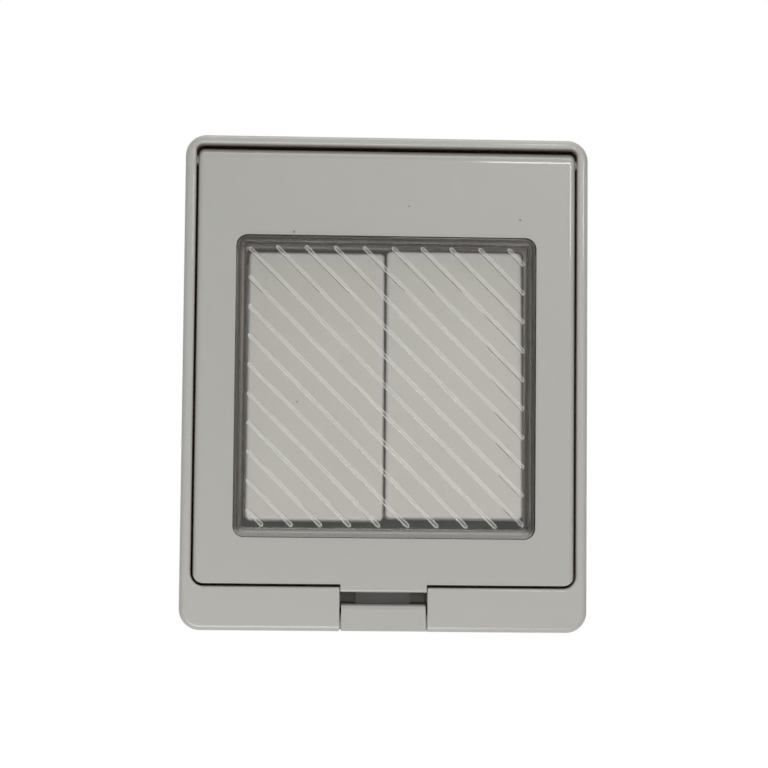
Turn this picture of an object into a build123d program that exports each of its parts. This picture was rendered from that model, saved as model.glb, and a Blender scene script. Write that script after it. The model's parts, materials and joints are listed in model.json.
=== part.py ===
from build123d import *
import os
from math import atan, cos, degrees, radians, sin, tan

# Outdoor weatherproof switch with two rockers behind a clear ribbed window.
# Millimetres. X points right, Z up, and the wall face lies in the plane Y = 0.
# A depth is a distance in front of the wall, so it runs along minus Y.
# The widths and heights build up from the rockers outwards: rockers, window, lid, rim.

os.makedirs("parts", exist_ok=True)

# Rockers
rocker_width = 27.6
rocker_height = 54.6
rocker_gap = 0.4
rocker_plate = 2.0
rocker_edge_height = 5.0
rocker_wall = 1.5
rocker_corner = 1.0
rocker_edge_round = 0.6
rocker_tilt = 4.5
rocker_leg_thickness = 2.2
rocker_leg_width = 7.0
rocker_leg_drop = 1.7
rocker_leg_gap = 0.5
rocker_pin_radius = 1.2
rocker_pin_fit = 0.05
rocker_pin_reach = 1.8
rocker_pivot_rise = 2.5

# Window in the lid
rocker_side_gap = 1.05
rocker_end_gap = 1.7
rocker_window_clearance = 2.46
window_thickness = 1.2
window_corner = 2.1
window_gap = 0.2
window_rise = 2.2
window_side_slope = 1.55
window_edge_round = 0.35
window_flange_reach = 1.95
window_flange_thickness = 0.8
rib_pitch = 5.79
rib_drop = 0.15
rib_width = 0.9
rib_height = 0.5
rib_side_slope = 14.0
rib_border_x = 0.9
rib_border_z = 0.65

# Frame that clamps the window to the lid, and the seal on it
clamp_thickness = 1.6
clamp_window_gap = 0.15
clamp_flange_clearance = 0.2
clamp_rim = 3.4
clamp_side_gap = 0.9
clamp_bottom_gap = 2.2
clamp_top_gap = 10.55
stake_radius = 1.2
stake_fit = 0.1
stake_head_radius = 1.8
stake_head_height = 0.6
lid_seal_overlap = 0.05
lid_seal_width = 1.8
lid_seal_clearance = 0.3
lid_seal_rib = 0.9
lid_seal_rib_height = 0.8
lid_seal_groove_fit = 0.05

# Lid
lid_side_gap = 0.4
lid_top_gap = 0.8
lid_bottom_gap = 0.5
lid_edge_height = 8.0
lid_edge_clearance = 3.0
lid_plate = 2.2
lid_skirt = 1.6
lid_top_round = 2.3
lid_side_round = 1.1
lid_bottom_corner = 2.2
hinge_pin_radius = 1.2
hinge_fit = 0.05
hinge_pin_reach = 1.1
hinge_pocket_spare = 0.3
hinge_pin_root = 1.4
tab_side_gap = 0.2
tab_drop = 1.55
tab_thickness = 2.0
tab_round = 0.5
catch_width = 12.0
catch_drop = 1.1
catch_thickness = 1.4
catch_ramp = 0.8

# Housing
parting_depth = 34.0
frame_depth = 18.0
frame_draft = 1.0
frame_wall = 2.2
corner_radius = 4.5
joint_overlap = 0.1
rim_side = 2.5
rim_top = 2.1
rim_outer_round = 1.1
rim_inner_round = 0.6
shoulder_height = 9.15
shoulder_wall = 2.0
tray_floor = 2.0
tray_wall = 1.6
tray_top_corner = 1.4
tray_bottom_corner = 2.6
collar_side_gap = 0.6
collar_end_gap = 1.2
collar_wall = 1.6
collar_height = 3.0
box_draft = 1.5
box_inset = 0.5
box_wall = 2.2
box_floor = 2.5
box_back_round = 0.9
seal_thickness = 1.0
seal_width = 1.3
seal_setback = 0.5
wall_screw_spacing_x = 48.0
wall_screw_spacing_z = 72.0
wall_hole_radius = 2.2
wall_collar_radius = 4.6
wall_collar_height = 2.0

# Cable entries through the top and bottom walls
entry_hole_radius = 10.25
entry_pad_border = 2.75
entry_pad_gap = 0.5
entry_pad_thickness = 2.5
entry_face_inset = 1.6
entry_recess_border = 2.15
entry_fit = 0.1
entry_flange_clearance = 0.4
entry_flange_thickness = 0.7
entry_lip_overhang = 1.1
entry_lip_thickness = 1.2
cable_hole_radius = 4.0
grommet_nose_length = 3.6
grommet_nose_wall = 1.2
plug_web_thickness = 1.5

# Screws that hold the frame to the box
box_boss_radius = 3.6
box_boss_side_gap = 0.1
box_boss_top_gap = 0.7
frame_screw_radius = 1.7
frame_head_radius = 2.9
frame_head_height = 2.4
frame_screw_length = 18.0
frame_screw_edge = 0.7
screw_fit = 0.05
screw_hole_fit = 0.1
counterbore_fit = 0.4
counterbore_depth = 2.8
pillar_wall = 1.0
screw_head_round = 0.7
driver_slot_length = 3.5
driver_slot_width = 0.9
driver_slot_depth = 1.1

# Bridge plate and its screws
bridge_thickness = 1.5
bridge_margin = 3.0
bridge_fold = 3.0
bridge_corner = 3.0
bridge_opening_fit = 0.4
bridge_post_radius = 3.6
bridge_post_side_gap = 0.6
bridge_screw_radius = 1.45
bridge_head_radius = 2.8
bridge_head_height = 2.0
bridge_head_clearance = 0.5
bridge_screw_length = 12.0
bridge_bore_spare = 1.0

# Switch housings, which sit a little low and a little high in the openings of the bridge
left_switch_drop = 0.25
right_switch_rise = 0.3
switch_body_depth = 17.5
switch_floor = 2.5
switch_neck_height = 40.0
switch_neck_rise = 3.0
switch_neck_step = 1.8
switch_body_step = 1.0
switch_flange_step = 0.3
switch_flange_end_step = 3.0
switch_flange_thickness = 1.6
switch_side_wall = 3.8
switch_end_wall = 0.9
switch_divider_thickness = 1.8
switch_divider_gap = 1.6
switch_divider_top_drop = 2.0
switch_claw_length = 8.0
switch_claw_reach = 0.8
switch_claw_height = 1.2
ear_thickness = 2.0
ear_round = 2.4

# Contacts and terminals
arm_width = 5.0
arm_end_gap = 2.6
arm_rise = 0.4
arm_thickness = 0.8
arm_tilt = 6.0
arm_bead_radius = 0.5
arm_bead_fit = 0.05
arm_bead_inset = 0.4
contact_radius = 1.3
contact_end_inset = 1.0
contact_gap = 0.24
moving_contact_height = 1.0
fixed_contact_height = 0.9
strip_thickness = 1.0
strip_width = 4.0
riser_width = 1.7
contact_pad_margin = 0.5
contact_pad_end = 0.4
saddle_half_height = 1.2
saddle_half_width = 2.4
terminal_gap = 4.0
terminal_depth = 8.0
terminal_end_fit = 0.1
terminal_side_fit = 0.2
terminal_divider_gap = 0.6
wire_hole_radius = 1.4
wire_hole_lead = 0.2
wire_hole_depth = 6.0
terminal_screw_radius = 1.2
terminal_head_radius = 1.9
terminal_head_height = 1.5
terminal_head_fit = 0.2
terminal_screw_depth = 4.0
terminal_screw_reach = 1.8
terminal_slot_width = 0.6

# Plunger and its spring
plunger_radius = 1.8
plunger_fit = 0.1
plunger_tube_wall = 1.1
plunger_arm_gap = 0.35
plunger_tip_length = 4.35
plunger_tip_radius = 1.2
plunger_tip_round = 1.1
plunger_top = -0.5
plunger_bore_top = 4.5
plunger_tube_clearance = 8.85
plunger_spring_wire = 0.25
plunger_spring_clearance = 0.12
plunger_spring_turns = 5
spring_end_gap = 0.05

# Latch and the notch that it sits in
notch_width = 17.6
notch_floor_rise = 3.0
notch_wall = 1.8
notch_ledge = 1.8
latch_side_gap = 0.4
latch_finger_gap = 2.25
latch_bottom_inset = 0.4
latch_plate = 2.2
latch_top_round = 1.6
latch_pivot_drop = 2.1
latch_pivot_rise = 5.4
latch_pin_radius = 1.1
latch_pin_fit = 0.05
latch_pin_reach = 1.2
latch_barrel_radius = 2.2
latch_arm = 2.4
latch_nose_gap = 0.3
latch_nose_thickness = 1.5
latch_nose_flat = 0.5
latch_nose_ramp = 0.75
latch_nose_width = 11.0
latch_nose_top_gap = 0.4
latch_tail_gap = 0.4
latch_tail_width = 4.0
latch_tail_rise = 0.2
latch_tail_thickness = 1.1
latch_spring_wire = 0.22
latch_spring_radius = 1.05
latch_spring_gap = 0.43
latch_spring_turns = 4

# Widths and heights, worked out from the rockers outwards
rocker_pair_half = rocker_width + rocker_gap / 2
window_inner_half = rocker_pair_half + rocker_side_gap
window_inner_half_height = rocker_height / 2 + rocker_end_gap
window_half = window_inner_half + window_thickness
window_half_height = window_inner_half_height + window_thickness
flange_half = window_half + window_flange_reach
flange_half_height = window_half_height + window_flange_reach
clamp_step_half = flange_half + clamp_flange_clearance
clamp_step_half_height = flange_half_height + clamp_flange_clearance
clamp_outer_half = clamp_step_half + clamp_rim
clamp_outer_half_height = clamp_step_half_height + clamp_rim
lid_half_width = clamp_outer_half + clamp_side_gap + lid_skirt
tray_half_width = lid_half_width + lid_side_gap
body_width = 2 * (tray_half_width + rim_side)
lid_below_window = clamp_outer_half_height + clamp_bottom_gap + lid_skirt
lid_above_window = clamp_outer_half_height + clamp_top_gap + lid_skirt
lid_height = lid_below_window + lid_above_window
body_height = shoulder_height + lid_bottom_gap + lid_height + lid_top_gap + rim_top
window_centre = -body_height / 2 + shoulder_height + lid_bottom_gap + lid_below_window
rocker_centre = window_centre
lid_top = window_centre + lid_above_window
lid_bottom = window_centre - lid_below_window
tray_top = lid_top + lid_top_gap
tray_bottom = lid_bottom - lid_bottom_gap
collar_inner_half = rocker_pair_half + collar_side_gap
collar_inner_half_height = rocker_height / 2 + collar_end_gap
switch_offset = (rocker_width + rocker_gap) / 2
switch_centres = {
    "left": (-switch_offset, rocker_centre - left_switch_drop),
    "right": (switch_offset, rocker_centre + right_switch_rise),
}

# Depths
box_depth = parting_depth - seal_thickness
rim_depth = parting_depth + frame_depth
lid_edge_depth = rim_depth - lid_edge_height
lid_back_depth = rim_depth - lid_plate
tray_depth = lid_edge_depth - lid_edge_clearance
tray_back_depth = tray_depth - tray_floor
clamp_front_depth = lid_back_depth - window_flange_thickness
clamp_back_depth = clamp_front_depth - clamp_thickness
window_front_depth = rim_depth + window_rise
window_inner_depth = window_front_depth - window_thickness
hinge_depth = rim_depth - lid_top_round
hinge_height = lid_top - lid_top_round
bridge_screw_seat = tray_back_depth - bridge_head_clearance - bridge_head_height
bridge_depth = bridge_screw_seat - bridge_thickness
switch_back_depth = bridge_depth - switch_body_depth
switch_floor_depth = switch_back_depth + switch_floor
switch_neck_depth = bridge_depth + switch_neck_rise
switch_flange_depth = bridge_depth - switch_flange_thickness
rocker_pivot_depth = switch_neck_depth + rocker_pivot_rise
rocker_swing = rocker_height / 2 * sin(radians(rocker_tilt))
rocker_face_height = window_inner_depth - rocker_window_clearance - rocker_swing - rocker_pivot_depth

# Screw places
seal_outer_half = body_width / 2 - box_inset - seal_setback
seal_outer_half_height = body_height / 2 - box_inset - seal_setback
frame_screw_x = seal_outer_half - seal_width - box_boss_side_gap - box_boss_radius
frame_screw_top = seal_outer_half_height - seal_width - box_boss_top_gap - box_boss_radius
frame_screw_bottom = tray_bottom + frame_screw_edge + frame_head_radius + counterbore_fit
frame_screw_seat = tray_depth - counterbore_depth
frame_screw_places = [
    (-frame_screw_x, frame_screw_top),
    (frame_screw_x, frame_screw_top),
    (-frame_screw_x, frame_screw_bottom),
    (frame_screw_x, frame_screw_bottom),
]
bridge_screw_x = seal_outer_half - seal_width - bridge_post_side_gap - bridge_post_radius
bridge_screw_places = [(-bridge_screw_x, rocker_centre), (bridge_screw_x, rocker_centre)]

# Switch housings, sized from the rockers
switch_neck_width = rocker_width - 2 * switch_neck_step
switch_body_width = rocker_width - 2 * switch_body_step
switch_body_height = switch_neck_height + 2 * switch_body_step
switch_flange_width = rocker_width - 2 * switch_flange_step
switch_flange_height = switch_neck_height + 2 * switch_flange_end_step
switch_cavity_width = switch_neck_width - 2 * switch_side_wall
switch_cavity_height = switch_neck_height - 2 * switch_end_wall

# Latch and notch places
notch_floor_depth = parting_depth + notch_floor_rise
notch_top = tray_bottom - notch_ledge
tab_bottom = lid_bottom - tab_drop
latch_top = tab_bottom - latch_finger_gap
latch_bottom = -body_height / 2 + latch_bottom_inset
latch_pivot_depth = notch_floor_depth + latch_pivot_rise
latch_pivot_height = latch_top - latch_pivot_drop
latch_nose_depth = lid_edge_depth + catch_thickness + latch_nose_gap
latch_nose_tip = lid_bottom - latch_nose_top_gap
latch_tail_depth = notch_floor_depth + latch_tail_gap
latch_tail_top = latch_pivot_height + latch_tail_rise
latch_spring_depth = notch_floor_depth + latch_spring_gap + latch_spring_radius + latch_spring_wire

# Cable entries
entry_pad_radius = entry_hole_radius + entry_pad_border
entry_depth = box_floor + entry_pad_gap + entry_pad_radius
entry_recess_radius = entry_hole_radius + entry_recess_border
entry_face_height = body_height / 2 - entry_face_inset
entry_pad_height = entry_face_height - entry_pad_thickness


def facing(depth):
    """Plane parallel to the wall at this depth, looking away from the wall."""
    return Plane.XZ.offset(depth)


def leaning(depth, height, angle):
    """Plane through a level pivot line, whose face looks up by this angle."""
    tip = radians(angle)
    return Plane(origin=(0, -depth, height), x_dir=(1, 0, 0), z_dir=(0, -cos(tip), sin(tip)))


def grown(size, depth):
    """Width or height of the tapered box at a depth, from its size at the wall."""
    return size + 2 * depth * tan(radians(box_draft))


# Back box: an open moulded tray that is screwed to the wall
box_narrowing = box_depth * tan(radians(box_draft))
box_back_width = body_width - 2 * box_inset - 2 * box_narrowing
box_back_height = body_height - 2 * box_inset - 2 * box_narrowing
box_back_corner = corner_radius - box_inset - box_narrowing

with BuildPart() as back_box:
    with BuildSketch(facing(0)):
        RectangleRounded(box_back_width, box_back_height, box_back_corner)
    extrude(amount=box_depth, taper=-box_draft)
    fillet(back_box.faces().sort_by(Axis.Y)[-1].edges(), box_back_round)
    with BuildSketch(facing(box_floor)):
        RectangleRounded(
            grown(box_back_width, box_floor) - 2 * box_wall,
            grown(box_back_height, box_floor) - 2 * box_wall,
            box_back_corner / 2,
        )
    extrude(amount=box_depth - box_floor, taper=-box_draft, mode=Mode.SUBTRACT)
    for side in (1, -1):
        with BuildSketch(Plane.XY.offset(side * entry_pad_height)):
            with Locations((0, -entry_depth)):
                Circle(entry_pad_radius)
        extrude(amount=side * entry_pad_thickness)
        with BuildSketch(Plane.XY.offset(side * entry_face_height)):
            with Locations((0, -entry_depth)):
                Circle(entry_recess_radius)
        extrude(amount=side * body_height, mode=Mode.SUBTRACT)
        with BuildSketch(Plane.XY.offset(side * entry_pad_height)):
            with Locations((0, -entry_depth)):
                Circle(entry_hole_radius)
        extrude(amount=side * body_height, mode=Mode.SUBTRACT)
    with BuildSketch(facing(box_floor)):
        with Locations(*frame_screw_places):
            Circle(box_boss_radius)
    extrude(amount=parting_depth - box_floor)
    with BuildSketch(facing(box_floor)):
        with Locations(*bridge_screw_places):
            Circle(bridge_post_radius)
    extrude(amount=bridge_depth - box_floor)
    with BuildSketch(facing(box_floor)):
        with GridLocations(wall_screw_spacing_x, wall_screw_spacing_z, 2, 2):
            Circle(wall_collar_radius)
    extrude(amount=wall_collar_height)
    with BuildSketch(facing(0)):
        with GridLocations(wall_screw_spacing_x, wall_screw_spacing_z, 2, 2):
            Circle(wall_hole_radius)
    extrude(amount=box_floor + wall_collar_height, mode=Mode.SUBTRACT)
    with BuildSketch(facing(parting_depth)):
        with Locations(*frame_screw_places):
            Circle(frame_screw_radius + screw_fit)
    extrude(amount=-frame_screw_length, mode=Mode.SUBTRACT)
    with BuildSketch(facing(bridge_depth)):
        with Locations(*bridge_screw_places):
            Circle(bridge_screw_radius + screw_fit)
    extrude(amount=-bridge_screw_length - bridge_bore_spare, mode=Mode.SUBTRACT)
back_box.part.label = "back_box"
export_step(back_box.part, "parts/back_box.step")

# Blanking plug in the upper cable entry, a rubber disc with a lip each side of the wall
entry_axis = Axis((0, -entry_depth, 0), (0, 0, 1))
entry_neck_radius = entry_hole_radius - entry_fit
entry_flange_radius = entry_recess_radius - entry_flange_clearance
entry_lip_radius = entry_hole_radius + entry_lip_overhang
entry_outer_height = entry_face_height + entry_flange_thickness
entry_lip_height = entry_pad_height - entry_lip_thickness

with BuildPart() as upper_entry_plug:
    with BuildSketch(facing(entry_depth)):
        with BuildLine():
            Polyline(
                (0, entry_outer_height - plug_web_thickness),
                (entry_neck_radius - plug_web_thickness, entry_outer_height - plug_web_thickness),
                (entry_neck_radius - plug_web_thickness, entry_lip_height),
                (entry_neck_radius, entry_lip_height),
                (entry_lip_radius, entry_pad_height),
                (entry_neck_radius, entry_pad_height),
                (entry_neck_radius, entry_face_height),
                (entry_flange_radius, entry_face_height),
                (entry_flange_radius, entry_outer_height - entry_flange_thickness / 2),
                (entry_flange_radius - entry_flange_thickness / 2, entry_outer_height),
                (0, entry_outer_height),
                close=True,
            )
        make_face()
    revolve(axis=entry_axis)
upper_entry_plug.part.label = "upper_entry_plug"
export_step(upper_entry_plug.part, "parts/upper_entry_plug.step")

# Cable grommet in the lower entry, with a tapering nose that seals on the sheath
nose_tip_height = -entry_lip_height + grommet_nose_length

with BuildPart() as lower_cable_grommet:
    with BuildSketch(facing(entry_depth)):
        with BuildLine():
            Polyline(
                (cable_hole_radius, -entry_outer_height),
                (entry_flange_radius - entry_flange_thickness / 2, -entry_outer_height),
                (entry_flange_radius, -entry_outer_height + entry_flange_thickness / 2),
                (entry_flange_radius, -entry_face_height),
                (entry_neck_radius, -entry_face_height),
                (entry_neck_radius, -entry_pad_height),
                (entry_lip_radius, -entry_pad_height),
                (entry_neck_radius, -entry_lip_height),
                (entry_neck_radius - grommet_nose_wall, -entry_lip_height),
                (cable_hole_radius + grommet_nose_wall, nose_tip_height),
                (cable_hole_radius, nose_tip_height),
                close=True,
            )
        make_face()
    revolve(axis=entry_axis)
lower_cable_grommet.part.label = "lower_cable_grommet"
export_step(lower_cable_grommet.part, "parts/lower_cable_grommet.step")

# Seal between the box and the frame
seal_corner = corner_radius - box_inset - seal_setback

with BuildPart() as box_seal:
    with BuildSketch(facing(box_depth)):
        RectangleRounded(2 * seal_outer_half, 2 * seal_outer_half_height, seal_corner)
        RectangleRounded(
            2 * (seal_outer_half - seal_width),
            2 * (seal_outer_half_height - seal_width),
            seal_corner - seal_width,
            mode=Mode.SUBTRACT,
        )
    extrude(amount=seal_thickness)
box_seal.part.label = "box_seal"
export_step(box_seal.part, "parts/box_seal.step")

# Front frame: rim, tray for the lid, collar round the rockers, and the latch notch
shoulder_inner_top = tray_bottom - tray_wall
shoulder_hollow_height = shoulder_inner_top + body_height / 2 - frame_wall
notch_back_depth = notch_floor_depth - notch_wall
notch_block_bottom = -body_height / 2 + frame_wall / 2
notch_block_top = notch_top + tray_wall
pillar_radius = frame_head_radius + counterbore_fit + pillar_wall

with BuildPart() as front_frame:
    with BuildSketch(facing(parting_depth)):
        RectangleRounded(body_width, body_height, corner_radius)
    extrude(amount=frame_depth, taper=frame_draft)
    fillet(front_frame.faces().sort_by(Axis.Y)[0].edges(), rim_outer_round)
    with BuildSketch(facing(tray_depth)) as tray_outline:
        with Locations((0, (tray_top + tray_bottom) / 2)):
            Rectangle(2 * tray_half_width, tray_top - tray_bottom)
        fillet(tray_outline.vertices().group_by(Axis.Y)[-1], tray_top_corner)
        fillet(tray_outline.vertices().group_by(Axis.Y)[0], tray_bottom_corner)
    extrude(amount=frame_depth, mode=Mode.SUBTRACT)
    fillet(front_frame.faces().sort_by(Axis.Y)[0].inner_wires()[0].edges(), rim_inner_round)
    with BuildSketch(facing(parting_depth)):
        RectangleRounded(
            body_width - 2 * frame_wall,
            body_height - 2 * frame_wall,
            corner_radius - frame_wall,
        )
    extrude(amount=tray_back_depth - parting_depth, mode=Mode.SUBTRACT)
    with BuildSketch(facing(parting_depth)):
        with Locations((0, shoulder_inner_top - shoulder_hollow_height / 2)):
            RectangleRounded(
                body_width - 2 * frame_wall, shoulder_hollow_height, corner_radius - frame_wall
            )
    extrude(amount=frame_depth - shoulder_wall, mode=Mode.SUBTRACT)
    with BuildSketch(facing(notch_back_depth)):
        with Locations((0, (notch_block_top + notch_block_bottom) / 2)):
            Rectangle(notch_width + 2 * notch_wall, notch_block_top - notch_block_bottom)
    extrude(amount=rim_depth - shoulder_wall - notch_back_depth)
    with BuildSketch(facing(notch_floor_depth)):
        with Locations((0, notch_top)):
            Rectangle(notch_width, 2 * shoulder_height, align=(Align.CENTER, Align.MAX))
    extrude(amount=frame_depth, mode=Mode.SUBTRACT)
    with BuildSketch(facing(tray_depth)):
        with Locations((0, lid_bottom)):
            Rectangle(notch_width, shoulder_height, align=(Align.CENTER, Align.MAX))
    extrude(amount=frame_depth, mode=Mode.SUBTRACT)
    with BuildSketch(Plane.YZ.offset(-notch_width / 2 - notch_wall)):
        with Locations((-latch_pivot_depth, latch_pivot_height)):
            Circle(latch_pin_radius + latch_pin_fit)
    extrude(amount=notch_width + 2 * notch_wall, mode=Mode.SUBTRACT)
    with BuildSketch(facing(tray_depth)):
        with Locations((0, rocker_centre)):
            RectangleRounded(
                2 * (collar_inner_half + collar_wall),
                2 * (collar_inner_half_height + collar_wall),
                rocker_corner + collar_wall,
            )
    extrude(amount=collar_height)
    with BuildSketch(facing(tray_back_depth)):
        with Locations((0, rocker_centre)):
            RectangleRounded(2 * collar_inner_half, 2 * collar_inner_half_height, rocker_corner)
    extrude(amount=frame_depth, mode=Mode.SUBTRACT)
    with BuildSketch(facing(parting_depth)):
        with Locations(*frame_screw_places):
            Circle(pillar_radius)
    extrude(amount=tray_back_depth - parting_depth)
    with BuildSketch(facing(tray_depth)):
        with Locations(*frame_screw_places):
            Circle(frame_head_radius + counterbore_fit)
    extrude(amount=-counterbore_depth, mode=Mode.SUBTRACT)
    with BuildSketch(facing(tray_depth)):
        with Locations(*frame_screw_places):
            Circle(frame_screw_radius + screw_hole_fit)
    extrude(amount=-frame_depth, mode=Mode.SUBTRACT)
    for side in (1, -1):
        with BuildSketch(Plane.YZ.offset(side * lid_half_width)):
            with Locations((-hinge_depth, hinge_height)):
                Circle(hinge_pin_radius + hinge_fit)
        extrude(
            amount=side * (lid_side_gap + hinge_pin_reach + hinge_pocket_spare),
            mode=Mode.SUBTRACT,
        )
front_frame.part.label = "front_frame"
export_step(front_frame.part, "parts/front_frame.step")

# Four screws that pull the frame down on the seal
with BuildPart() as frame_screws:
    with BuildSketch(facing(frame_screw_seat)):
        with Locations(*frame_screw_places):
            Circle(frame_head_radius)
    extrude(amount=frame_head_height)
    fillet(frame_screws.faces().group_by(Axis.Y)[0].edges(), screw_head_round)
    with BuildSketch(facing(frame_screw_seat)):
        with Locations(*frame_screw_places):
            Circle(frame_screw_radius)
    extrude(amount=-frame_screw_length)
    with BuildSketch(facing(frame_screw_seat + frame_head_height)):
        with Locations(*frame_screw_places):
            Rectangle(driver_slot_length, driver_slot_width)
            Rectangle(driver_slot_width, driver_slot_length)
    extrude(amount=-driver_slot_depth, mode=Mode.SUBTRACT)
frame_screws.part.label = "frame_screws"
export_step(frame_screws.part, "parts/frame_screws.step")

# Pressed steel bridge that carries the two switches
bridge_width = 2 * (bridge_screw_x + bridge_margin)
bridge_height = switch_flange_height + 2 * bridge_margin

with BuildPart() as mounting_bridge:
    with BuildSketch(facing(bridge_depth)):
        with Locations((0, rocker_centre)):
            RectangleRounded(bridge_width, bridge_height, bridge_corner)
    extrude(amount=bridge_thickness)
    for edge_offset in (1, -1):
        fold_centre = rocker_centre + edge_offset * (bridge_height - bridge_thickness) / 2
        with BuildSketch(facing(bridge_depth)):
            with Locations((0, fold_centre)):
                Rectangle(bridge_width - 2 * bridge_corner, bridge_thickness)
        extrude(amount=-bridge_fold)
    with BuildSketch(facing(bridge_depth)):
        with Locations((-switch_offset, rocker_centre), (switch_offset, rocker_centre)):
            Rectangle(
                switch_neck_width + 2 * bridge_opening_fit,
                switch_neck_height + 2 * bridge_opening_fit,
            )
    extrude(amount=bridge_thickness, mode=Mode.SUBTRACT)
    with BuildSketch(facing(bridge_depth)):
        with Locations(*bridge_screw_places):
            Circle(bridge_screw_radius + screw_hole_fit)
    extrude(amount=bridge_thickness, mode=Mode.SUBTRACT)
mounting_bridge.part.label = "mounting_bridge"
export_step(mounting_bridge.part, "parts/mounting_bridge.step")

# Two screws that hold the bridge on the posts of the box
with BuildPart() as bridge_screws:
    with BuildSketch(facing(bridge_screw_seat)):
        with Locations(*bridge_screw_places):
            Circle(bridge_head_radius)
    extrude(amount=bridge_head_height)
    fillet(bridge_screws.faces().group_by(Axis.Y)[0].edges(), screw_head_round)
    with BuildSketch(facing(bridge_screw_seat)):
        with Locations(*bridge_screw_places):
            Circle(bridge_screw_radius)
    extrude(amount=-bridge_screw_length)
    with BuildSketch(facing(bridge_screw_seat + bridge_head_height)):
        with Locations(*bridge_screw_places):
            Rectangle(2 * bridge_head_radius, driver_slot_width)
    extrude(amount=-driver_slot_depth, mode=Mode.SUBTRACT)
bridge_screws.part.label = "bridge_screws"
export_step(bridge_screws.part, "parts/bridge_screws.step")

# Each switch: housing, terminals, contact arm, rocker, plunger and spring
strip_top = switch_floor_depth + strip_thickness
divider_depth = switch_floor_depth + switch_divider_gap
terminal_side = switch_cavity_width / 2 - terminal_side_fit - terminal_gap / 2
terminal_end = switch_cavity_height / 2 - terminal_end_fit
terminal_offset_z = terminal_end - terminal_side / 2
terminal_offset_x = (terminal_gap + terminal_side) / 2
terminal_inner_edge = terminal_end - terminal_side
terminal_screw_height = switch_floor_depth + terminal_screw_depth
switch_divider_offset = terminal_inner_edge - terminal_divider_gap - switch_divider_thickness / 2
arm_length = 2 * (switch_divider_offset - switch_divider_thickness / 2 - arm_end_gap)
contact_offset = arm_length / 2 - contact_end_inset
contact_reach = (moving_contact_height - arm_rise) * cos(radians(arm_tilt))
contact_swing = (contact_offset + contact_radius) * sin(radians(arm_tilt))
arm_pivot_depth = strip_top + fixed_contact_height + contact_gap + contact_reach + contact_swing
strip_reach = terminal_inner_edge - contact_offset + contact_radius + joint_overlap
ear_offset = (switch_cavity_width + ear_thickness) / 2
ear_height = rocker_pivot_depth - switch_neck_depth
rocker_leg_offset = (switch_cavity_width - rocker_leg_thickness) / 2 - rocker_leg_gap
rocker_edge = rocker_face_height - rocker_edge_height
rocker_inner_face = rocker_face_height - rocker_plate
plunger_reach = rocker_pivot_depth - arm_pivot_depth - arm_rise - arm_thickness - plunger_arm_gap
plunger_shoulder = plunger_tip_length - plunger_reach
plunger_tube_drop = plunger_reach - plunger_tube_clearance
plunger_tube_radius = plunger_radius + plunger_fit + plunger_tube_wall
plunger_spring_radius = plunger_radius - plunger_spring_clearance - plunger_spring_wire
plunger_spring_end = plunger_spring_wire + spring_end_gap
plunger_spring_length = plunger_bore_top - plunger_top - 2 * plunger_spring_end
terminal_places = [
    (0, -terminal_offset_z),
    (-terminal_offset_x, terminal_offset_z),
    (terminal_offset_x, terminal_offset_z),
]

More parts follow.
